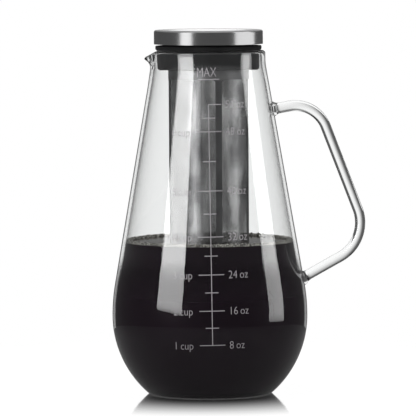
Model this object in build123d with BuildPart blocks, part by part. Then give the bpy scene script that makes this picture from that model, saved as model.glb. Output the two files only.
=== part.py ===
"""Cold brew coffee maker: a blown glass jug with a glass rod handle, a silicone collar in its
mouth, a steel mesh filter that hangs in the collar, and a press-in lid with a steel cap.

Millimetres, +Z up. The origin is the centre of the foot, on the surface that the jug stands on.
The handle points along +X, the pouring lip along -X, and the front is -Y.
"""

from build123d import *
import os
from math import asin, cos, pi, radians, sin, tan

# Glass jug, outside
BELLY_RADIUS = 62.4
BELLY_HEIGHT = 50.0
LOWER_ARC = 66.0
SHOULDER_ARC = 120.0
CONE_ANGLE = 9.8
NECK_START = 208.0
NECK_ARC = 40.0
RIM_HEIGHT = 218.8
RIM_ROUNDING = 1.5
FOOT_ROUNDING = 3.0
PUNT_RADIUS = 31.0
PUNT_RISE = 1.4

# Glass jug, inside
WALL = 2.8
FLOOR = 3.4
FLOOR_ROUNDING = 7.0
MOUTH_RADIUS = 32.7
MOUTH_HEIGHT = 208.5
MOUTH_BLEND_START = 194.0

# Pouring lip: height, radius and centre of its round sections, and the slope of its edge
LIP_SECTIONS = ((199.0, 8.5, -28.5), (206.0, 8.0, -29.6), (211.0, 7.6, -31.6), (215.0, 7.2, -32.8),
                (220.0, 7.0, -33.6))
LIP_WALL = 2.2
LIP_START = -32.0
LIP_SLOPE = 28.0

# Handle: corners of its centre line as (X, Z), the bends there, and its welds to the wall
ROD_RADIUS = 3.6
HANDLE_LINE = ((37.0, 179.7), (69.0, 185.3), (102.2, 98.4), (54.0, 71.3))
HANDLE_BENDS = (21.0, 25.0)
WELD_RADIUS = 5.0
WELD_LENGTH = 6.0
WELD_SINK = 2.0

# Coffee in the jug, and the froth that clings to the glass
COFFEE_LEVEL = 97.6
COFFEE_GAP = 0.3
FROTH_HEIGHT = 1.8
FROTH_WIDTH = 2.6
FROTH_ROUNDING = 0.8

# Filter
FILTER_RADIUS = 25.75
FILTER_SHEET = 0.5
FILTER_BOTTOM = 30.0
FLANGE_RADIUS = 29.8
FLANGE_SHEET = 0.8
RIB_COUNT = 4
RIB_WIDTH = 4.2
FIRST_RIB_ANGLE = 14.0
WINDOW_BOTTOM = 38.0
WINDOW_TOP = 201.4
WINDOW_ROUNDING = 2.0
MESH_SHEET = 0.3
MESH_LAP = 1.6
BASE_HEIGHT = 6.0
BASE_DISH_RADIUS = 18.0
BASE_DISH_RISE = 1.5

# Silicone collar
COLLAR_TOP = 222.4
COLLAR_BOTTOM = 207.4
COLLAR_RADIUS = 32.4
COLLAR_LIP_RADIUS = 33.9
COLLAR_LIP_SHEET = 2.1
COLLAR_CONE_DROP = 1.6
COLLAR_BORE = 26.0
COLLAR_SEAT_RADIUS = 30.0
COLLAR_ROUNDING = 1.6
COLLAR_LIP_ROUNDING = 0.5

# Lid: steel cap, plastic core and silicone seal
CAP_RADIUS = 34.8
CAP_BOTTOM = 223.5
CAP_TOP = 232.4
CAP_SHEET = 0.6
CAP_ROUNDING = 1.3
CORE_RECESS = 0.7
CORE_NECK_RADIUS = 28.8
PLUG_RADIUS = 22.6
PLUG_BOTTOM = 209.0
PLUG_ROUNDING = 1.2
PLUG_HOLLOW_RADIUS = 18.0
PLUG_ROOF = 2.5
GROOVE_RADIUS = 21.0
GROOVE_BOTTOM = 212.0
GROOVE_TOP = 218.0
SEAL_BODY_RADIUS = 23.2
SEAL_FIN_RADIUS = 24.9
SEAL_FIN_WIDTH = 1.6
SEAL_FIN_TIP = 0.6
SEAL_FIN_RISE = 0.4

os.makedirs("parts", exist_ok=True)


def save(part, name):
    """Labels a finished piece and writes it as a node of its own."""
    part.label = name
    export_step(part, f"parts/{name}.step")


def jug_arcs(inset):
    """The jug's lower arc and shoulder arc, both from the belly, set in from the outside."""
    belly = (BELLY_RADIUS - inset, BELLY_HEIGHT)
    lower = JernArc(belly, (0, -1), LOWER_ARC - inset, -60)
    shoulder = JernArc(belly, (0, 1), SHOULDER_ARC - inset, CONE_ANGLE)
    return lower, shoulder


def cone_point(inset, height):
    """The point of the straight cone above the shoulder at a height, set in from the outside."""
    arc = SHOULDER_ARC - inset
    start = BELLY_RADIUS - inset - arc * (1 - cos(radians(CONE_ANGLE)))
    rise = height - BELLY_HEIGHT - arc * sin(radians(CONE_ANGLE))
    return start - rise * tan(radians(CONE_ANGLE)), height


# The jug's outside as one turned solid: lower arc, belly, straight cone and upright neck. It also
# cuts the handle's ends to the wall.
with BuildPart() as envelope:
    with BuildSketch(Plane.XZ) as outside:
        with BuildLine():
            low_arc, shoulder_arc = jug_arcs(0)
            cone = Line(shoulder_arc @ 1, cone_point(0, NECK_START))
            neck = JernArc(cone @ 1, cone % 1, NECK_ARC, -CONE_ANGLE)
            rim = Line(neck @ 1, ((neck @ 1).X, RIM_HEIGHT))
            Polyline(rim @ 1, (0, RIM_HEIGHT), (0, (low_arc @ 1).Y), low_arc @ 1)
        make_face()
        # The foot is flat, with a rounded edge.
        with Locations((0, -BELLY_HEIGHT / 2)):
            Rectangle(2 * LOWER_ARC, BELLY_HEIGHT, mode=Mode.SUBTRACT)
        foot_corner = outside.vertices().group_by(Axis.Y)[0].sort_by(Axis.X)[-1]
        fillet(foot_corner, FOOT_ROUNDING)
        rim_corner = outside.vertices().group_by(Axis.Y)[-1].sort_by(Axis.X)[-1]
        fillet(rim_corner, RIM_ROUNDING)
    revolve(axis=Axis.Z)

# The jug's hollow as a solid, open past the rim.
with BuildPart() as cavity:
    with BuildSketch(Plane.XZ) as inside:
        with BuildLine():
            low_arc, shoulder_arc = jug_arcs(WALL)
            cone = Line(shoulder_arc @ 1, cone_point(WALL, MOUTH_BLEND_START))
            mouth = Spline(cone @ 1, (MOUTH_RADIUS, MOUTH_HEIGHT), tangents=(cone % 1, (0, 1)))
            bore = Line(mouth @ 1, (MOUTH_RADIUS, RIM_HEIGHT - RIM_ROUNDING))
            edge = JernArc(bore @ 1, (0, 1), RIM_ROUNDING, -90)
            top = RIM_HEIGHT + WALL
            Polyline(edge @ 1, ((edge @ 1).X, top), (0, top), (0, (low_arc @ 1).Y), low_arc @ 1)
        make_face()
        with Locations((0, FLOOR - BELLY_HEIGHT / 2)):
            Rectangle(2 * LOWER_ARC, BELLY_HEIGHT, mode=Mode.SUBTRACT)
        floor_corner = inside.vertices().group_by(Axis.Y)[0].sort_by(Axis.X)[-1]
        fillet(floor_corner, FLOOR_ROUNDING)
    revolve(axis=Axis.Z)


def lip_tongue(inset):
    """The pouring lip as a solid tongue of round sections, set in from its outside."""
    with BuildPart() as tongue:
        for height, radius, centre in LIP_SECTIONS:
            with BuildSketch(Plane.XY.offset(height)):
                with Locations((centre, 0)):
                    Circle(radius - inset)
        loft()
    return tongue.part


lip_outside = lip_tongue(0)
lip_channel = lip_tongue(LIP_WALL)

# The jug: thin blown wall, thicker floor with a shallow punt, rounded rim. The pouring lip is
# drawn out of the neck, and its edge slopes down from the rim to the tip.
with BuildPart() as carafe_glass:
    add(envelope.part)
    add(lip_outside)
    add(cavity.part, mode=Mode.SUBTRACT)
    add(lip_channel, mode=Mode.SUBTRACT)
    with BuildSketch(Plane.XZ):
        with BuildLine():
            drop = BELLY_RADIUS * tan(radians(LIP_SLOPE))
            tip = (LIP_START - BELLY_RADIUS, RIM_HEIGHT - drop)
            Polyline((LIP_START, RIM_HEIGHT), tip, (tip[0], RIM_HEIGHT + WALL),
                     (LIP_START, RIM_HEIGHT + WALL), close=True)
        make_face()
    extrude(amount=BELLY_RADIUS, both=True, mode=Mode.SUBTRACT)
    with BuildSketch(Plane.XZ):
        with BuildLine():
            dome = TangentArc((0, PUNT_RISE), (PUNT_RADIUS, 0), tangent=(1, 0))
            Polyline(dome @ 1, (0, 0), dome @ 0)
        make_face()
    revolve(axis=Axis.Z, mode=Mode.SUBTRACT)
save(carafe_glass.part, "carafe_glass")

# The handle: one bent glass rod. Each end flares into its weld and is cut to the wall's outside.
with BuildPart() as handle:
    with BuildLine(Plane.XZ) as handle_line:
        FilletPolyline(*HANDLE_LINE, radius=HANDLE_BENDS)
    rod_path = handle_line.line
    with BuildSketch(Plane(origin=rod_path @ 0, z_dir=rod_path % 0)):
        Circle(ROD_RADIUS)
    sweep(path=rod_path)
    top_end = Plane(origin=rod_path @ 0, z_dir=rod_path % 0)
    low_end = Plane(origin=rod_path @ 1, z_dir=-(rod_path % 1))
    for weld in (top_end, low_end):
        with Locations(weld):
            Cone(WELD_RADIUS, ROD_RADIUS, WELD_SINK + WELD_LENGTH,
                 align=(Align.CENTER, Align.CENTER, Align.MIN))
    add(envelope.part, mode=Mode.SUBTRACT)
save(handle.part, "handle")

# The coffee fills the jug up to its level, round the filter that hangs in it.
with BuildPart() as coffee:
    add(cavity.part)
    split(bisect_by=Plane.XY.offset(COFFEE_LEVEL), keep=Keep.BOTTOM)
    with BuildSketch(Plane.XY.offset(FILTER_BOTTOM - COFFEE_GAP)):
        Circle(FILTER_RADIUS + COFFEE_GAP)
    extrude(until=Until.LAST, mode=Mode.SUBTRACT)
save(coffee.part, "coffee")

# Froth: a ring of bubbles on the coffee, against the glass.
with BuildPart() as coffee_froth:
    with BuildSketch(Plane.XY.offset(COFFEE_LEVEL)):
        Circle(BELLY_RADIUS)
        Circle(cone_point(WALL, COFFEE_LEVEL + FROTH_HEIGHT)[0] - FROTH_WIDTH, mode=Mode.SUBTRACT)
    extrude(amount=FROTH_HEIGHT)
    fillet(coffee_froth.edges().group_by(Axis.Z)[-1].sort_by(SortBy.RADIUS)[0], FROTH_ROUNDING)
    add(cavity.part, mode=Mode.INTERSECT)
save(coffee_froth.part, "coffee_froth")

# The filter's frame: a thin steel tube with tall windows between its ribs.
with BuildPart() as filter_frame:
    tube_top = COLLAR_TOP - FLANGE_SHEET
    with BuildSketch(Plane.XY.offset(FILTER_BOTTOM)):
        Circle(FILTER_RADIUS)
        Circle(FILTER_RADIUS - FILTER_SHEET, mode=Mode.SUBTRACT)
    extrude(amount=tube_top - FILTER_BOTTOM)
    rib_angle = 2 * asin(RIB_WIDTH / 2 / FILTER_RADIUS)
    window_width = 2 * FILTER_RADIUS * sin(pi / RIB_COUNT - rib_angle / 2)
    window_height = WINDOW_TOP - WINDOW_BOTTOM
    for window in range(RIB_COUNT):
        facing = FIRST_RIB_ANGLE + (window + 0.5) * 360 / RIB_COUNT
        middle = Plane(origin=(0, 0, WINDOW_BOTTOM + window_height / 2), x_dir=(0, 0, 1),
                       z_dir=Vector(1, 0, 0).rotate(Axis.Z, facing))
        with BuildSketch(middle):
            RectangleRounded(window_height, window_width, WINDOW_ROUNDING)
        extrude(amount=2 * FILTER_RADIUS, mode=Mode.SUBTRACT)
save(filter_frame.part, "filter_frame")

# The mesh: a fine woven sleeve inside the frame, lapped past the windows.
with BuildPart() as filter_mesh:
    with BuildSketch(Plane.XY.offset(WINDOW_BOTTOM - MESH_LAP)):
        Circle(FILTER_RADIUS - FILTER_SHEET)
        Circle(FILTER_RADIUS - FILTER_SHEET - MESH_SHEET, mode=Mode.SUBTRACT)
    extrude(amount=WINDOW_TOP - WINDOW_BOTTOM + 2 * MESH_LAP)
save(filter_mesh.part, "filter_mesh")

# The filter's base: a pressed steel cup welded into the foot of the frame, its floor dished up.
with BuildPart() as filter_base:
    with BuildSketch(Plane.XZ):
        with BuildLine():
            wall_radius = FILTER_RADIUS - FILTER_SHEET
            rise = (0, FILTER_BOTTOM + BASE_DISH_RISE)
            floor_edge = (BASE_DISH_RADIUS, FILTER_BOTTOM)
            dish = TangentArc(rise, floor_edge, tangent=(1, 0))
            Polyline(floor_edge, (wall_radius, FILTER_BOTTOM),
                     (wall_radius, FILTER_BOTTOM + BASE_HEIGHT))
            offset(amount=FILTER_SHEET, side=Side.LEFT)
        make_face()
    revolve(axis=Axis.Z)
save(filter_base.part, "filter_base")

# The coffee inside the filter stands on the base and reaches the same level as round it.
with BuildPart() as filled_filter:
    with BuildSketch(Plane.XY.offset(FILTER_BOTTOM)):
        Circle(FILTER_RADIUS - FILTER_SHEET - MESH_SHEET)
    extrude(amount=COFFEE_LEVEL - FILTER_BOTTOM)
    add(filter_base.part, mode=Mode.SUBTRACT)
with BuildPart() as coffee_in_filter:
    add(filled_filter.solids().sort_by(SortBy.VOLUME)[-1])
save(coffee_in_filter.part, "coffee_in_filter")

# The filter's flange: a flat steel ring welded on the frame, which carries it in the collar.
with BuildPart() as filter_flange:
    with BuildSketch(Plane.XY.offset(COLLAR_TOP - FLANGE_SHEET)):
        Circle(FLANGE_RADIUS)
        Circle(FILTER_RADIUS - FILTER_SHEET, mode=Mode.SUBTRACT)
    extrude(amount=FLANGE_SHEET)
    outer_rim = filter_flange.edges().filter_by(GeomType.CIRCLE).group_by(SortBy.RADIUS)[-1]
    fillet(outer_rim, FLANGE_SHEET / 3)
save(filter_flange.part, "filter_flange")

# The collar: a moulded silicone ring that plugs the jug's mouth, with a thin lip over the rim and
# a recess on top for the filter's flange.
with BuildPart() as neck_collar:
    with BuildSketch(Plane.XZ) as collar_outline:
        with BuildLine():
            seat = COLLAR_TOP - FLANGE_SHEET
            lip_foot = COLLAR_TOP - COLLAR_LIP_SHEET
            Polyline((COLLAR_BORE, COLLAR_BOTTOM), (COLLAR_BORE, seat),
                     (COLLAR_SEAT_RADIUS, seat), (COLLAR_SEAT_RADIUS, COLLAR_TOP),
                     (COLLAR_LIP_RADIUS, COLLAR_TOP), (COLLAR_LIP_RADIUS, lip_foot),
                     (COLLAR_RADIUS, lip_foot - COLLAR_CONE_DROP),
                     (COLLAR_RADIUS, COLLAR_BOTTOM), close=True)
        make_face()
        fillet(collar_outline.vertices().group_by(Axis.Y)[0], COLLAR_ROUNDING)
        fillet(collar_outline.vertices().group_by(Axis.X)[-1], COLLAR_LIP_ROUNDING)
    revolve(axis=Axis.Z)
save(neck_collar.part, "neck_collar")

# The lid's cap: a shallow cup spun from steel sheet, with a soft top edge.
with BuildPart() as lid_cap:
    with BuildSketch(Plane.XY.offset(CAP_BOTTOM)):
        Circle(CAP_RADIUS)
    extrude(amount=CAP_TOP - CAP_BOTTOM)
    fillet(lid_cap.edges().group_by(Axis.Z)[-1], CAP_ROUNDING)
    offset(amount=-CAP_SHEET, openings=lid_cap.faces().sort_by(Axis.Z)[0])
save(lid_cap.part, "lid_cap")

# The lid's core: a hollow plastic moulding that fills the cap, sits on the filter's flange and
# plugs the filter, with a groove for the seal.
with BuildPart() as lid_core:
    with BuildSketch(Plane.XZ) as core_outline:
        with BuildLine():
            cap_inside = CAP_RADIUS - CAP_SHEET
            cap_roof = CAP_TOP - CAP_SHEET
            shelf = CAP_BOTTOM + CORE_RECESS
            hollow_top = cap_roof - PLUG_ROOF
            Polyline((0, cap_roof), (cap_inside, cap_roof), (cap_inside, shelf),
                     (CORE_NECK_RADIUS, shelf), (CORE_NECK_RADIUS, COLLAR_TOP),
                     (PLUG_RADIUS, COLLAR_TOP), (PLUG_RADIUS, GROOVE_TOP),
                     (GROOVE_RADIUS, GROOVE_TOP), (GROOVE_RADIUS, GROOVE_BOTTOM),
                     (PLUG_RADIUS, GROOVE_BOTTOM), (PLUG_RADIUS, PLUG_BOTTOM),
                     (PLUG_HOLLOW_RADIUS, PLUG_BOTTOM), (PLUG_HOLLOW_RADIUS, hollow_top),
                     (0, hollow_top), close=True)
        make_face()
        fillet(core_outline.vertices().group_by(Axis.Y)[0], PLUG_ROUNDING)
        top_corner = core_outline.vertices().group_by(Axis.Y)[-1].sort_by(Axis.X)[-1]
        fillet(top_corner, CAP_ROUNDING - CAP_SHEET)
    revolve(axis=Axis.Z)
save(lid_core.part, "lid_core")

# The lid's seal: a silicone band in the core's groove, with two thin fins that wipe the filter.
with BuildPart() as lid_seal:
    with BuildSketch(Plane.XZ):
        with BuildLine():
            first_fin = GROOVE_BOTTOM + SEAL_FIN_WIDTH / 2
            second_fin = GROOVE_TOP - SEAL_FIN_WIDTH * 3 / 2
            outline = [(GROOVE_RADIUS, GROOVE_BOTTOM), (SEAL_BODY_RADIUS, GROOVE_BOTTOM)]
            for root in (first_fin, second_fin):
                tip = root + SEAL_FIN_WIDTH / 2 + SEAL_FIN_RISE
                outline += [(SEAL_BODY_RADIUS, root), (SEAL_FIN_RADIUS, tip - SEAL_FIN_TIP / 2),
                            (SEAL_FIN_RADIUS, tip + SEAL_FIN_TIP / 2),
                            (SEAL_BODY_RADIUS, root + SEAL_FIN_WIDTH)]
            outline += [(SEAL_BODY_RADIUS, GROOVE_TOP), (GROOVE_RADIUS, GROOVE_TOP)]
            Polyline(*outline, close=True)
        make_face()
    revolve(axis=Axis.Z)
save(lid_seal.part, "lid_seal")
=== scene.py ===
import random
from math import atan2, cos, pi, radians, sin, sqrt, tan, tau

import bpy
from mathutils import Matrix, Vector


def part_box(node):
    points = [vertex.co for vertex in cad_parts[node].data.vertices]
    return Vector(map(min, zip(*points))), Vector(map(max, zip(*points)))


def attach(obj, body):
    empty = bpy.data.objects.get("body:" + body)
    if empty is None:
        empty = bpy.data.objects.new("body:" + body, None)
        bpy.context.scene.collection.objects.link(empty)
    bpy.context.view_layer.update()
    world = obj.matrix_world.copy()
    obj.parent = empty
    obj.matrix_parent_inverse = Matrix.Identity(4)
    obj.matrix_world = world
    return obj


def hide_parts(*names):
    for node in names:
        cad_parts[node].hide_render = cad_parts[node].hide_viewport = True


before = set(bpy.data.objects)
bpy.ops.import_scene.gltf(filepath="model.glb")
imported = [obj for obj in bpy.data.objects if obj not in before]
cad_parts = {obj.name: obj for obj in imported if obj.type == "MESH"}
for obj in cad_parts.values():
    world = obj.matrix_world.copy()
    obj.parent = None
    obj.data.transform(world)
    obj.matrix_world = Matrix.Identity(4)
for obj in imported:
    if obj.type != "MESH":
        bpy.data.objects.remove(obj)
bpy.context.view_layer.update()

# The camera: a long lens, a little above the height of the lid, so that the cap is seen from its
# side and the coffee's surface as a thin ellipse.
CAMERA_DISTANCE = 2.79
CAMERA_HEIGHT = 0.307
CAMERA_AIM = (-0.00085, 0.0, 0.1185)
CAMERA_ROLL = radians(-0.33)
CAMERA_LENS = 378.3

scene = bpy.context.scene
scene.view_settings.view_transform = "Standard"
camera_data = bpy.data.cameras.new("camera")
camera_data.lens = CAMERA_LENS
camera = bpy.data.objects.new("camera", camera_data)
scene.collection.objects.link(camera)
camera.location = (CAMERA_AIM[0], -CAMERA_DISTANCE, CAMERA_HEIGHT)
towards = Vector(CAMERA_AIM) - camera.location
upright = towards.to_track_quat("-Z", "Y").to_matrix()
camera.rotation_euler = (upright @ Matrix.Rotation(CAMERA_ROLL, 3, "Z")).to_euler()
scene.camera = camera

# The studio's walls: white to the eye and through clear glass. A wide dark flag at the left, a
# narrow one at the right and a dark band above draw the edges of the glass. What glass and metal
# mirror is the dim room, and what dull surfaces get is soft even light.
LEFT_FLAG = (-0.15, 0.40)
RIGHT_FLAG = (0.30, 0.45)
FLAG_DARKNESS = 0.90
BAND_FOOT = (0.26, 0.50)
BAND_HEAD = (0.62, 0.82)
BAND_DARKNESS = 0.80
INNER_LINE = (0.20, 0.35)
INNER_LINE_DARKNESS = 0.30
ROOM_HORIZON = 0.10
ROOM_OVERHEAD = 0.50
ROOM_RISE = (0.25, 0.9)
ROOM_SOFT_LIGHT = 0.60
WHITE_BACK = (0.84, 0.89)
DARK_SEAM = (0.950, 0.985)
STEEP = (0.28, 0.42)
GLOW_SPOT = (0.975, 0.995)
SURFACE_GLOW = 0.16
LEVEL_PART = (1.0, 1.0, 0.0)

# A count that a ray carries is above these once a thing has happened once, twice or three times.
ONCE, TWICE, THRICE = 0.5, 1.5, 2.5


class Signal:
    """An output of a node. A sum written with signals adds the Math nodes that work it out."""

    def __init__(self, socket):
        self.socket = socket

    def feed(self, target):
        """Links this signal to a node's input."""
        self.socket.id_data.links.new(self.socket, target)

    def beside(self, output):
        """Another output of the same node."""
        return Signal(self.socket.node.outputs[output])

    def add(self, kind, settings=(), values=(), output=0):
        """Adds any node to the same tree: its settings first, then its sockets' values or links."""
        node = self.socket.id_data.nodes.new(kind)
        for name, setting in dict(settings).items():
            setattr(node, name, setting)
        for name, value in dict(values).items():
            if isinstance(value, Signal):
                value.feed(node.inputs[name])
            else:
                node.inputs[name].default_value = value
        return Signal(node.outputs[output])

    def math(self, operation, *others):
        """A Math node on this signal and the others."""
        values = dict(enumerate((self,) + others))
        return self.add("ShaderNodeMath", {"operation": operation}, values)

    def __add__(self, other):
        return self.math("ADD", other)

    def __sub__(self, other):
        return self.math("SUBTRACT", other)

    def __rsub__(self, other):
        return (self - other) * -1.0

    def __mul__(self, other):
        return self.math("MULTIPLY", other)

    def __gt__(self, other):
        return self.math("GREATER_THAN", other)

    __radd__ = __add__
    __rmul__ = __mul__

    def between(self, low, high):
        """0 below low, 1 above high, and a soft rise between them."""
        values = {"Value": self, "From Min": low, "From Max": high}
        return self.add("ShaderNodeMapRange", {"interpolation_type": "SMOOTHSTEP"}, values)

    def mix(self, first, second):
        """A colour that goes from first to second as this signal goes from 0 to 1."""
        values = {0: self, 6: first, 7: second}
        return self.add("ShaderNodeMix", {"data_type": "RGBA"}, values, output=2)


def source(owner, kind, output):
    """An output of a node without inputs, in the tree of a world, a lamp or a material."""
    return Signal(owner.node_tree.nodes.new(kind).outputs[output])


world = bpy.data.worlds.new("studio")
world.use_nodes = True
scene.world = world
background = world.node_tree.nodes["Background"]
way = source(world, "ShaderNodeTexCoord", "Generated")
is_camera = source(world, "ShaderNodeLightPath", "Is Camera Ray")
is_through = is_camera.beside("Is Transmission Ray")
is_mirrored = is_camera.beside("Is Glossy Ray") * (1.0 - is_through)
height = way.add("ShaderNodeSeparateXYZ", values={0: way}, output=2)
flat_way = way.add("ShaderNodeVectorMath", {"operation": "MULTIPLY"}, {0: way, 1: LEVEL_PART})
flat_way = way.add("ShaderNodeVectorMath", {"operation": "NORMALIZE"}, {0: flat_way})
to_right = way.add("ShaderNodeSeparateXYZ", values={0: flat_way})
to_back = to_right.beside(1)
leftwards = 0.0 - to_right
one_wall = 1.0 - (is_camera.beside("Transmission Depth") > THRICE)
more_walls = 1.0 - one_wall
left_flag = leftwards.between(*LEFT_FLAG) * FLAG_DARKNESS * one_wall
right_flag = to_right.between(*RIGHT_FLAG) * FLAG_DARKNESS * one_wall
band = height.between(*BAND_FOOT) * (1.0 - height.between(*BAND_HEAD)) * BAND_DARKNESS
inner_line = leftwards.between(*INNER_LINE) * more_walls * INNER_LINE_DARKNESS
clear_view = (1.0 - left_flag) * (1.0 - right_flag) * (1.0 - band) * (1.0 - inner_line)
room = height.between(*ROOM_RISE) * (ROOM_OVERHEAD - ROOM_HORIZON) + ROOM_HORIZON
# A ray that has been mirrored by something inside the jug comes out through two more faces, and
# meets a weak glow straight behind. One mirrored by the inner face of the wall comes out through
# one, and meets white at the back, above and below, but for the dark seam in the middle of it. One
# that the polished table mirrors has passed the clear film over it twice.
mirrored_once = is_camera.beside("Glossy Depth") > ONCE
from_table = is_camera.beside("Transparent Depth") > TWICE
white_back = to_back.between(*WHITE_BACK) * (1.0 - to_back.between(*DARK_SEAM))
steep = height.math("ABSOLUTE").between(*STEEP)
inner_white = one_wall * white_back.math("MAXIMUM", steep)
surface_glow = more_walls * to_back.between(*GLOW_SPOT) * SURFACE_GLOW
inner_view = inner_white * (1.0 - room) + room + surface_glow
seen_through = is_through * (mirrored_once * (inner_view - clear_view) + clear_view)
seen_mirrored = is_mirrored * (from_table * (1.0 - room) + room)
soft = (1.0 - is_camera - is_mirrored - is_through).math("MAXIMUM", 0.0)
strength = is_camera + seen_through + seen_mirrored + soft * ROOM_SOFT_LIGHT
strength.feed(background.inputs["Strength"])
background.inputs["Color"].default_value = (1.0, 1.0, 1.0, 1.0)

# The table: round and white, with a polish that mirrors the jug's foot and fades out round it. A
# clear film lies over it, and only counts the rays that the polish sends on.
TABLE_RADIUS = 0.34
TABLE_DROP = 0.0003
FILM_DROP = 0.0001
TABLE_COLOUR = (0.20, 0.20, 0.20, 1.0)
GLOW_SEEN = 0.84
GLOW_NEAR = 0.06
GLOW_FAR = 0.03
GLOW_FADES = (0.16, 0.33)
POLISH_FADES = (0.040, 0.150)
POLISH_ROUGHNESS = 0.06
WHITE = (1.0, 1.0, 1.0, 1.0)


def table_sheet(name, drop, finish_name):
    """A flat round sheet a little under the jug's foot, and its material without any nodes."""
    bpy.ops.object.select_all(action="DESELECT")
    bpy.ops.mesh.primitive_circle_add(vertices=96, radius=TABLE_RADIUS, fill_type="NGON")
    sheet = bpy.context.object
    sheet.name = name
    sheet.location.z = -drop
    material = bpy.data.materials.new(finish_name)
    material.use_nodes = True
    material.node_tree.nodes.clear()
    sheet.data.materials.append(material)
    return sheet, material


table, table_white = table_sheet("table", TABLE_DROP, "table_white")
place = source(table_white, "ShaderNodeTexCoord", "Object")
is_camera = source(table_white, "ShaderNodeLightPath", "Is Camera Ray")
from_axis = place.add("ShaderNodeVectorMath", {"operation": "LENGTH"}, {0: place}, output=1)
straight_on = 1.0 - (is_camera.beside("Glossy Depth") > ONCE)
seen = (is_camera + is_camera.beside("Is Transmission Ray") * straight_on).math("MINIMUM", 1.0)
# The table glows white like the backdrop, and a little more near the jug's foot: a painted pool of light
# there.
glow_level = seen * GLOW_SEEN + (1.0 - from_axis.between(*GLOW_FADES)) * GLOW_NEAR + GLOW_FAR
glow = place.add("ShaderNodeEmission", values={"Color": WHITE, "Strength": glow_level})
matt = place.add("ShaderNodeBsdfDiffuse", values={"Color": TABLE_COLOUR})
lit_white = place.add("ShaderNodeAddShader", values={0: glow, 1: matt})
polish = place.add("ShaderNodeBsdfGlossy", values={"Color": WHITE, "Roughness": POLISH_ROUGHNESS})
fade = seen * (1.0 - from_axis.between(*POLISH_FADES))
surface = place.add("ShaderNodeMixShader", values={0: fade, 1: lit_white, 2: polish})
surface.feed(table_white.node_tree.nodes.new("ShaderNodeOutputMaterial").inputs["Surface"])

film, film_clear = table_sheet("table_film", FILM_DROP, "film_clear")
pass_on = source(film_clear, "ShaderNodeBsdfTransparent", 0)
pass_on.feed(film_clear.node_tree.nodes.new("ShaderNodeOutputMaterial").inputs["Surface"])

# The jug: blown borosilicate glass, one thin wall from the foot to a fire-polished rim, with a
# pouring lip drawn out of the rim while the glass is soft.
jug_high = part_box("carafe_glass")[1]
BELLY_RADIUS = jug_high[0]
RIM_HEIGHT = jug_high[2] + 0.0004
BELLY_HEIGHT = 0.050
LOWER_ARC = 0.066
SHOULDER_ARC = 0.120
CONE_ANGLE = radians(9.8)
NECK_START = 0.208
NECK_ARC = 0.040
WALL = 0.0024
FLOOR = 0.0034
FLOOR_ROUNDING = 0.007
FLOOR_MIDDLE = 0.018
FOOT_ROUNDING = 0.003
PUNT_RADIUS = 0.031
PUNT_RISE = 0.0014
PUNT_STEPS = 8
MOUTH_RADIUS = 0.0333
MOUTH_HEIGHT = 0.2148
MOUTH_PULL = 0.0045
CONE_PULL = 0.006
MOUTH_BLEND_START = 0.200
RIM_ROUNDING = 0.0017
ROUND_STEPS = 160


def arc(centre, radius, start, end, steps):
    """Points along an arc in the outline's plane, from one angle to another, both included."""
    turns = (start + (end - start) * step / steps for step in range(steps + 1))
    return [(centre[0] + radius * cos(turn), centre[1] + radius * sin(turn)) for turn in turns]


def curve(start, pull_start, pull_end, end, steps):
    """Points along a Bezier curve in the outline's plane, without its two ends."""
    points = []
    for step in range(1, steps):
        t = step / steps
        shares = ((1 - t) ** 3, 3 * t * (1 - t) ** 2, 3 * t * t * (1 - t), t ** 3)
        ends = (start, pull_start, pull_end, end)
        points.append(tuple(sum(s * p[i] for s, p in zip(shares, ends)) for i in (0, 1)))
    return points


def jug_radius(height, inset):
    """Radius of the jug's belly, shoulder or cone at a height, set in from the outside."""
    shoulder = SHOULDER_ARC - inset
    cone_start = BELLY_HEIGHT + shoulder * sin(CONE_ANGLE)
    if height < BELLY_HEIGHT:
        lower = LOWER_ARC - inset
        return BELLY_RADIUS - LOWER_ARC + sqrt(lower ** 2 - (BELLY_HEIGHT - height) ** 2)
    centre = BELLY_RADIUS - SHOULDER_ARC
    if height < cone_start:
        return centre + sqrt(shoulder ** 2 - (height - BELLY_HEIGHT) ** 2)
    return centre + shoulder * cos(CONE_ANGLE) - (height - cone_start) * tan(CONE_ANGLE)


def jug_side(inset, edge_height, edge_rounding, top):
    """The jug's side from a rounded bottom edge up to a height on the cone, set in from outside."""
    low_centre = (BELLY_RADIUS - LOWER_ARC, BELLY_HEIGHT)
    high_centre = (BELLY_RADIUS - SHOULDER_ARC, BELLY_HEIGHT)
    lower = LOWER_ARC - inset
    drop = BELLY_HEIGHT - edge_height - edge_rounding
    reach = sqrt((lower - edge_rounding) ** 2 - drop ** 2)
    corner = (low_centre[0] + reach, edge_height + edge_rounding)
    turn = atan2(-drop, reach)
    points = arc(corner, edge_rounding, -pi / 2, turn, 8)
    points += arc(low_centre, lower, turn, 0.0, 26)[1:]
    points += arc(high_centre, SHOULDER_ARC - inset, 0.0, CONE_ANGLE, 10)[1:]
    cone_end = points[-1][1]
    for step in range(1, 13):
        height = cone_end + (top - cone_end) * step / 12
        points.append((jug_radius(height, inset), height))
    return points


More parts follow.
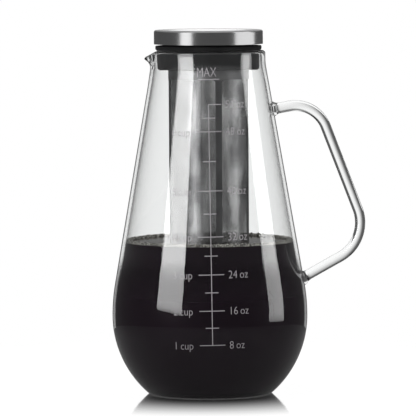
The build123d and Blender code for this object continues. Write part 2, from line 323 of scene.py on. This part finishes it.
def turned(name, outline, steps=ROUND_STEPS, hollow=False):
    """A piece turned about the jug's axis: its outline is drawn point by point and spun. Blender
    takes the inside of a hollow one for its outside, so there the normals are asked the other way."""
    bpy.ops.object.select_all(action="DESELECT")
    bpy.ops.mesh.primitive_plane_add(size=0.01)
    piece = bpy.context.object
    piece.name = name
    piece.data.name = name
    bpy.ops.object.mode_set(mode="EDIT")
    bpy.ops.mesh.merge(type="CENTER")
    bpy.ops.transform.translate(value=(outline[0][0], 0.0, outline[0][1]))
    for (x, z), (next_x, next_z) in zip(outline, outline[1:]):
        move = {"value": (next_x - x, 0.0, next_z - z)}
        bpy.ops.mesh.extrude_region_move(TRANSFORM_OT_translate=move)
    bpy.ops.mesh.select_all(action="SELECT")
    bpy.ops.mesh.spin(steps=steps, angle=tau, center=(0, 0, 0), axis=(0, 0, 1))
    bpy.ops.mesh.select_all(action="SELECT")
    bpy.ops.mesh.remove_doubles(threshold=0.000002)
    bpy.ops.mesh.normals_make_consistent(inside=hollow)
    bpy.ops.object.mode_set(mode="OBJECT")
    bpy.ops.object.shade_smooth_by_angle(angle=radians(35))
    return piece


punt_shares = [step / PUNT_STEPS for step in range(PUNT_STEPS + 1)]
punt = [(PUNT_RADIUS * share, PUNT_RISE * (1 - share ** 2)) for share in punt_shares]
outside = jug_side(0.0, 0.0, FOOT_ROUNDING, NECK_START)
neck_centre = (outside[-1][0] + NECK_ARC * cos(CONE_ANGLE), NECK_START + NECK_ARC * sin(CONE_ANGLE))
neck = arc(neck_centre, NECK_ARC, pi + CONE_ANGLE, pi, 6)[1:]
neck_radius = neck[-1][0]
rim_centre = RIM_HEIGHT - RIM_ROUNDING
rim = arc((neck_radius - RIM_ROUNDING, rim_centre), RIM_ROUNDING, 0.0, pi / 2, 6)
rim += arc((MOUTH_RADIUS + RIM_ROUNDING, rim_centre), RIM_ROUNDING, pi / 2, pi, 6)
inside = jug_side(WALL, FLOOR, FLOOR_ROUNDING, MOUTH_BLEND_START)
cone_x, cone_z = inside[-1]
mouth = (MOUTH_RADIUS, MOUTH_HEIGHT)
blend = curve(mouth, (MOUTH_RADIUS, MOUTH_HEIGHT - MOUTH_PULL),
              (cone_x - CONE_PULL * tan(CONE_ANGLE), cone_z + CONE_PULL), (cone_x, cone_z), 12)
outline = punt + outside + neck + rim + [mouth] + blend + inside[::-1]
outline += [(FLOOR_MIDDLE, FLOOR), (0.0, FLOOR)]
jug = turned("jug_glass", outline, hollow=True)

# The lip is drawn out of the rim with a tool: first the rim sinks over a wide arc, then the tip
# is pulled out to a point. Each pull has its way, its reach, its falloff and its lowest point.
LIP_BACK = -0.030
LIP_HALF_WIDTH = 0.0022
LIP_PULLS = (((-0.0006, 0.0, -0.0014), 0.019, "SMOOTH", 0.2128),
             ((-0.0040, 0.0, -0.0022), 0.0090, "SHARP", 0.2160))
for pull, reach, falloff, lowest in LIP_PULLS:
    bpy.ops.object.mode_set(mode="EDIT")
    bpy.ops.mesh.select_mode(type="VERT")
    bpy.ops.mesh.select_all(action="DESELECT")
    bpy.ops.object.mode_set(mode="OBJECT")
    for point in jug.data.vertices:
        x, y, z = point.co
        point.select = x < LIP_BACK and abs(y) < LIP_HALF_WIDTH and z > lowest
    bpy.ops.object.mode_set(mode="EDIT")
    bpy.ops.transform.translate(value=pull, use_proportional_edit=True,
                                proportional_edit_falloff=falloff, proportional_size=reach)
    bpy.ops.object.mode_set(mode="OBJECT")
scene.tool_settings.use_proportional_edit = False


def new_finish(name, constants=()):
    """A material, with the values that don't vary on its shader's own sockets."""
    material = bpy.data.materials.new(name)
    material.use_nodes = True
    shader = material.node_tree.nodes["Principled BSDF"]
    for socket, value in dict(constants).items():
        shader.inputs[socket].default_value = value
    return material


# Clear glass throws no shadow on the table, the coffee or the filter.
clear_glass = new_finish("clear_glass", {"Base Color": (0.985, 0.992, 0.99, 1.0), "IOR": 1.49,
                                         "Transmission Weight": 1.0, "Roughness": 0.0})
jug.data.materials.append(clear_glass)
jug.visible_shadow = False
jug.visible_diffuse = False
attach(jug, "carafe")
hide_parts("carafe_glass")

# The handle: a rod of solid glass bent while hot. Each end is melted onto the wall, where it
# spreads into a small foot that follows the wall's curve.
HANDLE_CORNERS = ((0.0370, 0.1809), (0.0685, 0.1865), (0.1025, 0.0974), (0.0540, 0.0703))
HANDLE_BENDS = (0.021, 0.025)
ROD_RADII = (0.0035, 0.0033, 0.0033)
ROD_STEP = 0.0010
WELD_SPREAD = 0.45
WELD_REACH = 0.0035
WELD_GAP = 0.00004


def rod_line(corners, bends, step):
    """Evenly stepped points along straight runs joined by tangent arcs."""
    corners = [Vector((x, 0.0, z)) for x, z in corners]
    points = [corners[0]]
    for before, corner, after, bend in zip(corners, corners[1:], corners[2:], bends):
        back = (before - corner).normalized()
        on = (after - corner).normalized()
        half = back.angle(on) / 2
        centre = corner + (back + on).normalized() * bend / sin(half)
        start = corner + back * bend / tan(half)
        count = max(2, round((start - points[-1]).length / step))
        points += [points[-1].lerp(start, share / count) for share in range(1, count + 1)]
        outwards = points[-1] - centre
        turn = pi - 2 * half
        count = round(bend * turn / step)
        for share in range(1, count + 1):
            angle = turn * share / count
            points.append(centre + outwards * cos(angle) - back * bend * sin(angle))
    count = round((corners[-1] - points[-1]).length / step)
    last = points[-1]
    points += [last.lerp(corners[-1], share / count) for share in range(1, count + 1)]
    return points


def pick(pieces):
    """Selects these pieces and no others, the first of them active."""
    bpy.ops.object.select_all(action="DESELECT")
    for piece in pieces:
        piece.select_set(True)
    bpy.context.view_layer.objects.active = pieces[0]


line = rod_line(HANDLE_CORNERS, HANDLE_BENDS, ROD_STEP)
curve_data = bpy.data.curves.new("handle_line", "CURVE")
curve_data.dimensions = "3D"
curve_data.bevel_depth = 1.0
curve_data.bevel_resolution = 7
curve_data.use_fill_caps = True
spline = curve_data.splines.new("POLY")
spline.points.add(len(line) - 1)
upper, middle, lower = ROD_RADII
for number, (point, spot) in enumerate(zip(spline.points, line)):
    point.co = (*spot, 1.0)
    along = 2 * number / (len(line) - 1)
    radius = upper + (middle - upper) * min(1.0, along) + (lower - middle) * max(0.0, along - 1)
    off_wall = (spot.x - jug_radius(spot.z, 0.0)) * cos(CONE_ANGLE)
    near = max(0.0, 1.0 - max(0.0, off_wall) / WELD_REACH)
    point.radius = radius * (1 + WELD_SPREAD * near ** 2)
handle = bpy.data.objects.new("handle_glass", curve_data)
scene.collection.objects.link(handle)
pick([handle])
bpy.ops.object.convert(target="MESH")
handle = bpy.context.object
handle.data.name = "handle_glass"
jug_shape = [(0.0, 0.0)] + jug_side(-WELD_GAP, 0.0, FOOT_ROUNDING, NECK_START) + [(0.0, NECK_START)]
cutter = turned("handle_cutter", jug_shape)
pick([handle])
cut = handle.modifiers.new("cut", "BOOLEAN")
cut.operation = "DIFFERENCE"
cut.object = cutter
bpy.ops.object.modifier_apply(modifier=cut.name)
bpy.data.objects.remove(cutter)
bpy.ops.object.shade_smooth_by_angle(angle=radians(50))
handle.data.materials.append(clear_glass)
handle.visible_shadow = False
handle.visible_diffuse = False
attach(handle, "carafe")
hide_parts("handle")

# The volume marks: thin grey enamel fired onto the front of the glass, a scale line with ticks,
# ounces on its right and cups on its left. Heights of the ticks are in millimetres.
ENAMEL_LIFT = 0.00003
ENAMEL_THICKNESS = 0.00005
ENAMEL_DARK = (0.54, 0.51, 0.54, 1.0)
ENAMEL_LIGHT = (0.62, 0.59, 0.62, 1.0)
STROKE = 0.0005
STROKE_STEP = 0.001
SCALE_TILT = radians(0.9)
SCALE_FOOT = (0.0016, 0.0362)
SCALE_HEAD = (-0.0002, 0.1865)
CONE_TOP = 0.2079
OUNCE_MARKS = ((36.2, 8), (57.9, 16), (80.4, 24), (103.9, 32), (132.5, 40), (169.5, 48))
HALF_MARKS = (47.2, 69.3, 92.1, 118.2, 150.9, 178.0)
LONG_TICK = 0.016
HALF_TICK = 0.0083
LETTER_SIZE = 0.0063
LETTER_SHAPE = (0.96, 1.14)
LETTER_THINNING = 0.00009
LETTER_MIDDLE = 0.35
WORD_GAP = 0.75
WORD_LIFT = 0.0002
OUNCES_START = 0.0106
CUPS_END = -0.0119
TOP_WORD = (-0.0014, 0.2068)
TOP_WORD_SIZE = 0.0076
TOP_WORD_SHAPE = (0.78, 1.14)
TOP_LINE_LENGTH = 0.0134
TOP_LINE_HEIGHT = 0.2022


def scale_across(height):
    """How far round the glass the scale line is at a height."""
    share = (height - SCALE_FOOT[1]) / (SCALE_HEAD[1] - SCALE_FOOT[1])
    return SCALE_FOOT[0] + (SCALE_HEAD[0] - SCALE_FOOT[0]) * share


def fire_on(mark, across, height, tilt):
    """Lays a flat mark on the front of the jug's wall, at an arc length from the middle."""
    for point in mark.data.vertices:
        along = point.co.x * cos(tilt) - point.co.y * sin(tilt) + across
        up = point.co.x * sin(tilt) + point.co.y * cos(tilt) + height
        radius = jug_radius(min(up, CONE_TOP), 0.0)
        turn = along / radius
        out = radius + ENAMEL_LIFT + point.co.z
        point.co = (out * sin(turn), -out * cos(turn), up)
    return mark


def stroke(length, across, height, tilt=SCALE_TILT):
    """A straight mark, its middle at a place on the wall."""
    bpy.ops.object.select_all(action="DESELECT")
    steps = max(2, round(length / STROKE_STEP))
    bpy.ops.mesh.primitive_grid_add(x_subdivisions=steps, y_subdivisions=1, size=1.0)
    mark = bpy.context.object
    bpy.ops.object.mode_set(mode="EDIT")
    bpy.ops.transform.resize(value=(length, STROKE, 1.0))
    bpy.ops.mesh.extrude_region_move(TRANSFORM_OT_translate={"value": (0.0, 0.0, ENAMEL_THICKNESS)})
    bpy.ops.mesh.select_all(action="SELECT")
    bpy.ops.mesh.normals_make_consistent(inside=False)
    bpy.ops.object.mode_set(mode="OBJECT")
    return fire_on(mark, across, height, tilt)


def words(text, across, height, align, size=LETTER_SIZE, shape=LETTER_SHAPE):
    """A word or a number in narrow letters, its line's middle height at a place on the wall."""
    bpy.ops.object.select_all(action="DESELECT")
    bpy.ops.object.text_add()
    mark = bpy.context.object
    mark.data.body = text
    mark.data.size = size
    mark.data.align_x = align
    mark.data.resolution_u = 3
    mark.data.extrude = ENAMEL_THICKNESS / 2
    mark.data.space_word = WORD_GAP
    mark.data.offset = -LETTER_THINNING
    bpy.ops.object.convert(target="MESH")
    mark = bpy.context.object
    bpy.ops.object.mode_set(mode="EDIT")
    bpy.ops.mesh.select_all(action="SELECT")
    bpy.ops.mesh.remove_doubles(threshold=0.000001)
    bpy.ops.transform.translate(value=(0.0, -LETTER_MIDDLE * size, ENAMEL_THICKNESS / 2))
    bpy.ops.object.mode_set(mode="OBJECT")
    mark.data.transform(Matrix.Diagonal((*shape, 1.0, 1.0)))
    return fire_on(mark, across, height, SCALE_TILT)


line_length = SCALE_HEAD[1] - SCALE_FOOT[1]
line_tilt = pi / 2 + (SCALE_FOOT[0] - SCALE_HEAD[0]) / line_length
line_middle = (SCALE_HEAD[1] + SCALE_FOOT[1]) / 2
marks = [stroke(line_length, scale_across(line_middle), line_middle, line_tilt)]
for cups, (height_mm, ounces) in enumerate(OUNCE_MARKS, 1):
    height = height_mm / 1000
    middle = scale_across(height)
    marks.append(stroke(LONG_TICK, middle, height))
    marks.append(words(f"{ounces} oz", middle + OUNCES_START, height + WORD_LIFT, "LEFT"))
    marks.append(words(f"{cups} cup", middle + CUPS_END, height - WORD_LIFT, "RIGHT"))
for height_mm in HALF_MARKS:
    marks.append(stroke(HALF_TICK, scale_across(height_mm / 1000), height_mm / 1000))
top_across, top_mark = scale_across(SCALE_HEAD[1]), SCALE_HEAD[1]
marks.append(stroke(LONG_TICK / 2, top_across + LONG_TICK / 4, top_mark))
marks.append(words("51 oz", top_across + OUNCES_START, top_mark + WORD_LIFT, "LEFT"))
marks.append(words("MAX", *TOP_WORD, "CENTER", TOP_WORD_SIZE, TOP_WORD_SHAPE))
marks.append(stroke(TOP_LINE_LENGTH, 0.0, TOP_LINE_HEIGHT))
pick(marks)
bpy.ops.object.join()
volume_marks = bpy.context.object
bpy.ops.object.mode_set(mode="EDIT")
bpy.ops.mesh.select_all(action="SELECT")
bpy.ops.mesh.normals_make_consistent(inside=False)
bpy.ops.object.mode_set(mode="OBJECT")
volume_marks.name = "volume_marks"
volume_marks.data.name = "volume_marks"


def place_on(material):
    """Where a point lies on the piece that has this material."""
    return source(material, "ShaderNodeTexCoord", "Object")


def vary(material, signals):
    """Feeds signals to the sockets of a material's shader, by their names."""
    shader = material.node_tree.nodes["Principled BSDF"]
    for socket, signal in signals.items():
        signal.feed(shader.inputs[socket])


grey_enamel = new_finish("grey_enamel", {"Roughness": 0.30, "Alpha": 0.85})
place = place_on(grey_enamel)
speckle = place.add("ShaderNodeTexNoise", values={"Vector": place, "Scale": 900.0, "Detail": 2.0})
vary(grey_enamel, {"Base Color": speckle.between(0.3, 0.7).mix(ENAMEL_DARK, ENAMEL_LIGHT)})
volume_marks.data.materials.clear()
volume_marks.data.materials.append(grey_enamel)
volume_marks.visible_shadow = False
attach(volume_marks, "carafe")

# The coffee: cold brew, nearly black, up to just under the 32 oz mark, with a wet edge that
# climbs the glass a little. Near the top it clings to the wall as a film that thins out upwards.
COFFEE_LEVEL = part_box("coffee")[1][2]
COFFEE_GAP = 0.0001
COFFEE_SINK = 0.00015
CONTACT_HEIGHT = 0.049
CONTACT_FADE = 0.002
FILM_START = 0.045
FILM_THINS = (0.060, 0.091)
FILM_THICKNESS = 0.00003
MENISCUS = 0.0012
MENISCUS_WIDTH = 0.0035
MENISCUS_SHARES = (0.05, 0.15, 0.3, 0.5, 0.75, 1.0)
SURFACE_RINGS = (0.045, 0.035, 0.0262, 0.018, 0.009, 0.0)
BLACK_COFFEE = {"Base Color": (0.0085, 0.0035, 0.0080, 1.0), "Roughness": 0.35,
                "Specular IOR Level": 0.05}

wall_line = jug_side(WALL, FLOOR, FLOOR_ROUNDING, COFFEE_LEVEL + MENISCUS)
film_line = [(x + COFFEE_SINK, z) for x, z in wall_line if z > FILM_START]
film_line += [(x - FILM_THICKNESS, z) for x, z in film_line[::-1]] + film_line[:1]
coffee_film = turned("coffee_film", film_line)
coffee_side = []
for x, z in wall_line:
    share = min(1.0, max(0.0, (z - CONTACT_HEIGHT) / CONTACT_FADE + 0.5))
    sunk = COFFEE_SINK - (COFFEE_GAP + COFFEE_SINK) * share
    coffee_side.append((x + sunk, z - COFFEE_SINK * (1 - share)))
edge = coffee_side[-1][0]
surface_line = [(edge - MENISCUS_WIDTH * share, COFFEE_LEVEL + MENISCUS * (1 - share) ** 3)
                for share in MENISCUS_SHARES]
surface_line += [(radius, COFFEE_LEVEL) for radius in SURFACE_RINGS]
coffee = turned("coffee_body", [(0.0, FLOOR - COFFEE_SINK)] + coffee_side + surface_line)
coffee_dark = new_finish("coffee_dark", BLACK_COFFEE)
# The coffee's top is glossy, and its colour is painted lighter and browner than the body's: painted light
# on the surface.
lit_coffee_top = new_finish("lit_coffee_top", {"Base Color": (0.03, 0.02, 0.015, 1.0),
                                               "Roughness": 0.08, "IOR": 1.34})
film_stain = new_finish("film_stain", BLACK_COFFEE)
place = place_on(film_stain)
film_height = place.add("ShaderNodeSeparateXYZ", values={0: place}, output=2)
vary(film_stain, {"Alpha": 1.0 - film_height.between(*FILM_THINS)})
coffee.data.materials.append(coffee_dark)
coffee.data.materials.append(lit_coffee_top)
for face in coffee.data.polygons:
    if face.normal.z > 0.5 and face.center.z > COFFEE_LEVEL - 0.001:
        face.material_index = 1
coffee_film.data.materials.append(film_stain)
pick([coffee, coffee_film])
bpy.ops.object.join()
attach(coffee, "carafe")
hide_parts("coffee")

# The coffee inside the filter: it stands as high there as round it, with its own wet edge. It
# shows through the mesh when the filter is lifted, and from above.
CLOTH_INSIDE = 0.0244
BASE_TOP = 0.0366
COLUMN_ROUNDING = 0.0004
COLUMN_CLIMB = 0.0006
COLUMN_SLOPE = (0.0014, 0.0002)
COLUMN_MIDDLE = 0.012
COLUMN_STEPS = 96

column_line = [(0.0, BASE_TOP), (CLOTH_INSIDE - COLUMN_ROUNDING, BASE_TOP),
               (CLOTH_INSIDE, BASE_TOP + COLUMN_ROUNDING), (CLOTH_INSIDE, COFFEE_LEVEL + COLUMN_CLIMB),
               (CLOTH_INSIDE - COLUMN_ROUNDING, COFFEE_LEVEL + COLUMN_SLOPE[1]),
               (CLOTH_INSIDE - COLUMN_SLOPE[0], COFFEE_LEVEL), (COLUMN_MIDDLE, COFFEE_LEVEL),
               (0.0, COFFEE_LEVEL)]
filter_coffee = turned("filter_coffee", column_line, COLUMN_STEPS)
filter_coffee.data.materials.append(coffee_dark)
filter_coffee.data.materials.append(lit_coffee_top)
for face in filter_coffee.data.polygons:
    if face.normal.z > 0.5:
        face.material_index = 1
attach(filter_coffee, "filter")
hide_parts("coffee_in_filter")

# The froth: fine beige bubbles left on the coffee where it meets the glass. A low ring of foam
# carries a few hundred separate bubbles, most of them close to the wall.
FROTH_INNER = 0.0034
FROTH_MIDDLE = 0.0020
FROTH_CREST = 0.0010
FROTH_HEIGHT = 0.0013
FROTH_SLOPE = 0.0007
FROTH_SINK = 0.0004
FROTH_DEPTH = 0.0003
FROTH_GAP = 0.00004
FROTH_LIGHT = (0.56, 0.55, 0.50, 1.0)
FROTH_DARK = (0.08, 0.078, 0.07, 1.0)
BUBBLE_COUNT = 520
BUBBLE_SIZES = (0.0003, 0.0009)
BUBBLE_CROWDING = 1.6
BUBBLE_CLIMB = 0.0010
BUBBLE_GAP = 0.0001

froth_edge = jug_radius(COFFEE_LEVEL, WALL) - COFFEE_GAP
froth_low = COFFEE_LEVEL - FROTH_DEPTH
froth_top = COFFEE_LEVEL + FROTH_HEIGHT
froth_start = (froth_edge - FROTH_INNER, COFFEE_LEVEL - FROTH_SINK)
froth_line = [froth_start, (froth_edge - FROTH_MIDDLE, froth_low),
              (jug_radius(froth_low, WALL) - FROTH_GAP, froth_low),
              (jug_radius(froth_top, WALL) - FROTH_GAP, froth_top),
              (froth_edge - FROTH_CREST, froth_top),
              (froth_edge - FROTH_MIDDLE, COFFEE_LEVEL + FROTH_SLOPE), froth_start]
froth = turned("froth_ring", froth_line)
random.seed(7)
bubbles = []
bpy.ops.object.select_all(action="DESELECT")
bpy.ops.mesh.primitive_uv_sphere_add(segments=8, ring_count=5, radius=1.0)
bubble = bpy.context.object
for number in range(BUBBLE_COUNT):
    size = random.uniform(*BUBBLE_SIZES)
    turn = random.uniform(0.0, tau)
    inwards = random.random() ** BUBBLE_CROWDING
    radius = froth_edge - size * 1.02 - BUBBLE_GAP - inwards * FROTH_INNER
    up = COFFEE_LEVEL + BUBBLE_CLIMB * (1.0 - inwards) + size * 0.2
    spot = Matrix.Translation((radius * cos(turn), radius * sin(turn), up))
    copy = bubble.copy()
    copy.data = bubble.data.copy()
    scene.collection.objects.link(copy)
    copy.data.transform(spot @ Matrix.Scale(size, 4))
    bubbles.append(copy)
bpy.data.objects.remove(bubble)
pick([froth] + bubbles)
bpy.ops.object.join()
froth = bpy.context.object
bpy.ops.object.shade_smooth()
froth_foam = new_finish("froth_foam", {"Roughness": 0.28})
place = place_on(froth_foam)
cells = place.add("ShaderNodeTexVoronoi", values={"Vector": place, "Scale": 1000.0}, output=0)
patches = place.add("ShaderNodeTexNoise", values={"Vector": place, "Scale": 260.0, "Detail": 3.0})
gaps = (cells * 0.7 + patches * 0.5).between(0.35, 0.75)
foam_bump = place.add("ShaderNodeBump", values={"Height": cells, "Strength": 0.5, "Distance": 0.0002})
vary(froth_foam, {"Base Color": gaps.mix(FROTH_LIGHT, FROTH_DARK), "Normal": foam_bump})
froth.data.materials.clear()
froth.data.materials.append(froth_foam)
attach(froth, "carafe")
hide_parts("coffee_froth")

# The collar and the lid's seal: black silicone with a fine matt skin from the mould, a little dusty
# in places. The jug's mouth grips the collar, and the seal wipes the inside of the filter.
SILICONE_DARK = (0.010, 0.010, 0.011, 1.0)
SILICONE_DUSTY = (0.017, 0.017, 0.018, 1.0)


def finish_node(name, material):
    """Gives a carried-over node its material in place of the plain one."""
    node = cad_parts[name]
    node.data.materials.clear()
    node.data.materials.append(material)


black_silicone = new_finish("black_silicone")
place = place_on(black_silicone)
grain = place.add("ShaderNodeTexNoise", values={"Vector": place, "Scale": 2600.0, "Detail": 3.0})
bloom = place.add("ShaderNodeTexNoise", values={"Vector": place, "Scale": 90.0, "Detail": 2.0})
grain_bump = place.add("ShaderNodeBump", values={"Height": grain, "Strength": 0.15, "Distance": 0.0001})
vary(black_silicone, {"Base Color": bloom.between(0.3, 0.75).mix(SILICONE_DARK, SILICONE_DUSTY),
                      "Roughness": bloom * 0.15 + 0.42, "Normal": grain_bump})
finish_node("neck_collar", black_silicone)
finish_node("lid_seal", black_silicone)

# The filter's frame, base and flange: stainless steel sheet, drawn and given a fine satin finish
# along its length, with faint clouds where it was polished.
# Both tones are painted far darker than the cap's steel: painted shade on the filter inside the jug. The
# clouds between them are the steel's own.
SHADED_SATIN_DARK = (0.17, 0.17, 0.175, 1.0)
SHADED_SATIN_LIGHT = (0.25, 0.25, 0.255, 1.0)
SATIN_STRETCH = (1.0, 1.0, 0.03)

shaded_satin_steel = new_finish("shaded_satin_steel", {"Metallic": 1.0})
place = place_on(shaded_satin_steel)
stretched = place.add("ShaderNodeMapping", values={"Vector": place, "Scale": SATIN_STRETCH})
brushing = place.add("ShaderNodeTexNoise", values={"Vector": stretched, "Scale": 2200.0, "Detail": 3.0})
clouds = place.add("ShaderNodeTexNoise", values={"Vector": place, "Scale": 45.0, "Detail": 3.0})
brush_bump = place.add("ShaderNodeBump", values={"Height": brushing, "Strength": 0.12, "Distance": 0.0001})
vary(shaded_satin_steel, {"Base Color": clouds.between(0.25, 0.8).mix(SHADED_SATIN_DARK, SHADED_SATIN_LIGHT),
                   "Roughness": clouds * 0.12 + brushing * 0.10 + 0.24, "Normal": brush_bump})
for name in ("filter_frame", "filter_base", "filter_flange"):
    finish_node(name, shaded_satin_steel)

# The filter's mesh: very fine stainless wire cloth, spot-welded inside the frame. Its holes are
# far smaller than the eye sees, so it lets part of the light through, more in some places.
# Its greys are painted darker than the cap's steel: painted shade on the cloth inside the jug. The patches
# between them are its own mottling.
SHADED_CLOTH_DARK = (0.19, 0.19, 0.195, 1.0)
SHADED_CLOTH_LIGHT = (0.45, 0.45, 0.455, 1.0)
WARP_WIRES = 230.0
WEFT_WIRES = 9000.0
STREAK_STRETCH = (1.0, 1.0, 0.30)

shaded_wire_cloth = new_finish("shaded_wire_cloth", {"Metallic": 1.0})
place = place_on(shaded_wire_cloth)
x_part = place.add("ShaderNodeSeparateXYZ", values={0: place})
warp = (x_part.beside(1).math("ARCTAN2", x_part) * WARP_WIRES).math("SINE")
weft = (x_part.beside(2) * WEFT_WIRES).math("SINE")
weave = (warp * weft) * 0.5 + 0.5
clouds = place.add("ShaderNodeTexNoise", values={"Vector": place, "Scale": 55.0, "Detail": 3.0})
tall = place.add("ShaderNodeMapping", values={"Vector": place, "Scale": STREAK_STRETCH})
streaks = place.add("ShaderNodeTexNoise", values={"Vector": tall, "Scale": 120.0, "Detail": 2.0})
patchy = (clouds * 0.35 + streaks * 0.65).between(0.38, 0.62)
weave_bump = place.add("ShaderNodeBump", values={"Height": weave, "Strength": 0.25, "Distance": 0.0001})
vary(shaded_wire_cloth, {"Base Color": patchy.mix(SHADED_CLOTH_DARK, SHADED_CLOTH_LIGHT), "Roughness": patchy * 0.06 + 0.18,
                  "Alpha": weave * 0.14 + (1.0 - patchy) * 0.20 + 0.28, "Normal": weave_bump})
finish_node("filter_mesh", shaded_wire_cloth)

# The lid's core: black plastic with a fine spark-eroded texture. Only its edge shows, between the
# cap and the collar, until the lid comes out.
PLASTIC_DARK = (0.010, 0.010, 0.011, 1.0)
PLASTIC_WORN = (0.020, 0.020, 0.021, 1.0)

black_plastic = new_finish("black_plastic")
place = place_on(black_plastic)
pitting = place.add("ShaderNodeTexNoise", values={"Vector": place, "Scale": 3200.0, "Detail": 4.0})
wear = place.add("ShaderNodeTexNoise", values={"Vector": place, "Scale": 130.0, "Detail": 3.0})
pit_bump = place.add("ShaderNodeBump", values={"Height": pitting, "Strength": 0.2, "Distance": 0.0001})
vary(black_plastic, {"Base Color": wear.between(0.3, 0.75).mix(PLASTIC_DARK, PLASTIC_WORN),
                     "Roughness": wear * 0.18 + 0.34, "Normal": pit_bump})
finish_node("lid_core", black_plastic)

# The cap: a pressed stainless steel dish, turned on a lathe against fine abrasive, so the lines
# run round its side and in circles over its top, which is duller towards its edge.
TURNED_DARK = (0.50, 0.50, 0.505, 1.0)
TURNED_LIGHT = (0.64, 0.64, 0.645, 1.0)
LATHE_LINES = 5200.0
CAP_TOP = 0.2318
DULL_EDGE = (0.018, 0.034)

turned_steel = new_finish("turned_steel", {"Metallic": 1.0})
place = place_on(turned_steel)
z_part = place.add("ShaderNodeSeparateXYZ", values={0: place}, output=2)
flat = place.add("ShaderNodeVectorMath", {"operation": "MULTIPLY"}, {0: place, 1: LEVEL_PART})
from_axis = place.add("ShaderNodeVectorMath", {"operation": "LENGTH"}, {0: flat}, output=1)
ring_place = {0: from_axis * LATHE_LINES, 1: z_part * LATHE_LINES, 2: 0.0}
rings = place.add("ShaderNodeCombineXYZ", values=ring_place)
lathe_lines = place.add("ShaderNodeTexNoise", values={"Vector": rings, "Scale": 1.0, "Detail": 4.0})
clouds = place.add("ShaderNodeTexNoise", values={"Vector": place, "Scale": 60.0, "Detail": 3.0})
dull_edge = (z_part > CAP_TOP) * from_axis.between(*DULL_EDGE)
lathe_bump = place.add("ShaderNodeBump",
                       values={"Height": lathe_lines, "Strength": 0.10, "Distance": 0.00005})
vary(turned_steel, {"Base Color": lathe_lines.between(0.25, 0.8).mix(TURNED_DARK, TURNED_LIGHT),
                    "Roughness": lathe_lines * 0.10 + clouds * 0.05 + dull_edge * 0.34 + 0.13,
                    "Normal": lathe_bump})
finish_node("lid_cap", turned_steel)

# The softboxes: a tall one on either side of the camera that the glass mirrors as a bright band,
# and others turned and sized for the steel. Each is dimmer at its lower end, and none shows in what
# is mirrored inside the jug.
BOX_TOP = 1.10
BOX_END_FADE = (-0.03, 0.09)
BOX_END_LEVEL = 0.35


def softbox(name, turn, width, level, lit, bottom=0.0, top=BOX_TOP, distance=1.2, lean=0.0):
    """An even light wall seen in mirrors only, turned from the camera's side to the right."""
    data = bpy.data.lights.new(name, "AREA")
    data.shape = "RECTANGLE"
    data.size = width
    data.size_y = top - bottom
    data.energy = level * pi * data.size * data.size_y
    data.use_nodes = True
    mirrored = source(data, "ShaderNodeLightPath", "Glossy Depth")
    shown = 1.0 - (mirrored > ONCE) * (mirrored.beside("Transmission Depth") > THRICE)
    spot = source(data, "ShaderNodeNewGeometry", "Parametric")
    along = spot.add("ShaderNodeSeparateXYZ", values={0: spot}, output=1)
    shown = shown * (along.between(*BOX_END_FADE) * (1.0 - BOX_END_LEVEL) + BOX_END_LEVEL)
    shown.feed(data.node_tree.nodes["Emission"].inputs["Strength"])
    lamp = bpy.data.objects.new(name, data)
    scene.collection.objects.link(lamp)
    turn = radians(turn)
    lamp.location = (distance * sin(turn), -distance * cos(turn), (top + bottom) / 2)
    facing = Vector((-sin(turn), cos(turn), 0.0)).to_track_quat("-Z", "Y").to_matrix()
    lamp.rotation_euler = (facing @ Matrix.Rotation(radians(lean), 3, "Z")).to_euler()
    lamp.visible_diffuse = False
    lamp.visible_camera = False
    group = bpy.data.collections.new(name + "_lights")
    for piece in lit:
        group.objects.link(piece)
    lamp.light_linking.receiver_collection = group
    return lamp


cap = [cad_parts["lid_cap"]]
steel_nodes = ("filter_frame", "filter_mesh", "filter_base", "filter_flange")
filter_pieces = [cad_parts[name] for name in steel_nodes]
softbox("glass_left", -47.0, 0.688, 7.8, [jug, handle, volume_marks], bottom=0.066, lean=-4.0)
softbox("glass_right", 84.0, 0.490, 5.0, [jug, volume_marks], bottom=-0.073)
mirrors_only = [
    softbox("edge_left", -156.0, 0.46, 0.6, [jug], bottom=-0.4, top=1.2, distance=2.0),
    softbox("edge_right", 156.0, 0.46, 0.6, [jug], bottom=-0.4, top=1.2, distance=2.0),
    softbox("steel_left", -48.0, 0.56, 1.5, cap),
    softbox("steel_right", 85.0, 1.25, 1.15, cap),
    softbox("filter_left", -42.5, 0.42, 12.0, filter_pieces),
    softbox("filter_right", 85.0, 0.44, 6.0, filter_pieces),
    softbox("steel_back", 180.0, 0.35, 1.20, cap, bottom=-0.2, top=0.75)]
for lamp in mirrors_only:
    lamp.visible_transmission = False

# The fill: one big soft lamp up at the left of the camera. Dull surfaces get its light, and it is
# never seen in glass or steel.
FILL_PLACE = (-0.9, -1.5, 1.7)
FILL_AIM = Vector((0.0, 0.0, 0.1))
FILL_WIDTH = 0.9
FILL_POWER = 9.0

fill_data = bpy.data.lights.new("fill", "AREA")
fill_data.shape = "DISK"
fill_data.size = FILL_WIDTH
fill_data.energy = FILL_POWER
fill = bpy.data.objects.new("fill", fill_data)
scene.collection.objects.link(fill)
fill.location = FILL_PLACE
fill.rotation_euler = (FILL_AIM - fill.location).to_track_quat("-Z", "Y").to_euler()
fill.visible_glossy = False
fill.visible_transmission = False
fill.visible_camera = False
